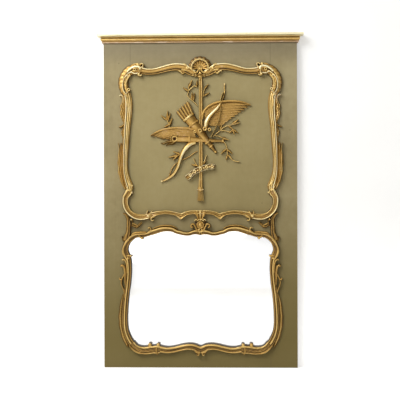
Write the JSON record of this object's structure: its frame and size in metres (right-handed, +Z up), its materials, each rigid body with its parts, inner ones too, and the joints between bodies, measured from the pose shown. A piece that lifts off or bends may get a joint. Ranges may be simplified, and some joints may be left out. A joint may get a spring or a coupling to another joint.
{
  "type": "trumeau mirror",
  "caption": "Tall wall mirror in a painted board panel with a moulded gilded cornice, scrolled carved gilt frames, a shell, a palmette and a carved trophy.",
  "frame": {"origin": "halfway between the two wall holes of the hanging straps, on the wall plane", "axes": "+Z up, +X to the viewer's right, the painted and gilded front faces -Y and the backs of the boards lie on the wall plane"},
  "size_m": [1.066, 0.08, 1.725],
  "materials": {
    "painted_wood": "aged satin paint",
    "gilded_wood": "worn gold leaf over red ground",
    "bare_wood": "matt, unfinished",
    "mirror_glass": "silvered plate",
    "steel": "dull",
    "black_iron": "matt, oxidised"
  },
  "bodies": {
    "root": {"backboards": "bare_wood", "bottom_rail": "painted_wood", "centre_palmette": "gilded_wood", "corner_branch_left": "gilded_wood", "corner_branch_right": "gilded_wood", "cornice_bead": "gilded_wood", "cornice_front": "gilded_wood", "cornice_left_return": "gilded_wood", "cornice_right_return": "gilded_wood", "cover_board": "bare_wood", "cut_nails": "black_iron", "field_panel": "painted_wood", "frame_clasps": "gilded_wood", "glass_fillets": "bare_wood", "hanging_straps": "steel", "joint_pegs": "bare_wood", "left_stile": "painted_wood", "middle_rail": "painted_wood", "mirror_corner_scroll_left": "gilded_wood", "mirror_corner_scroll_right": "gilded_wood", "mirror_foot_corner_left": "gilded_wood", "mirror_foot_corner_right": "gilded_wood", "mirror_foot_moulding_left": "gilded_wood", "mirror_foot_moulding_right": "gilded_wood", "mirror_glass": "mirror_glass", "mirror_head_moulding_left": "gilded_wood", "mirror_head_moulding_right": "gilded_wood", "mirror_side_leaves_left": "gilded_wood", "mirror_side_leaves_right": "gilded_wood", "mirror_side_moulding_left": "gilded_wood", "mirror_side_moulding_right": "gilded_wood", "panel_battens": "bare_wood", "right_stile": "painted_wood", "shell_cartouche": "gilded_wood", "strap_screws": "steel", "top_rail": "painted_wood", "trophy_arrows": "gilded_wood", "trophy_band": "gilded_wood", "trophy_bow": "gilded_wood", "trophy_bow_string": "gilded_wood", "trophy_left_wing": "gilded_wood", "trophy_quiver": "gilded_wood", "trophy_right_wing": "gilded_wood", "trophy_rosettes": "gilded_wood", "trophy_sprigs": "gilded_wood", "trophy_staff": "gilded_wood", "trophy_torch": "gilded_wood", "upper_corner_leaf_left": "gilded_wood", "upper_corner_leaf_right": "gilded_wood", "upper_foot_moulding_left": "gilded_wood", "upper_foot_moulding_right": "gilded_wood", "upper_head_moulding_left": "gilded_wood", "upper_head_moulding_right": "gilded_wood", "upper_lower_scroll_left": "gilded_wood", "upper_lower_scroll_right": "gilded_wood", "upper_side_leaves_left": "gilded_wood", "upper_side_leaves_right": "gilded_wood", "upper_side_moulding_left": "gilded_wood", "upper_side_moulding_right": "gilded_wood"}
  },
  "joints": []
}
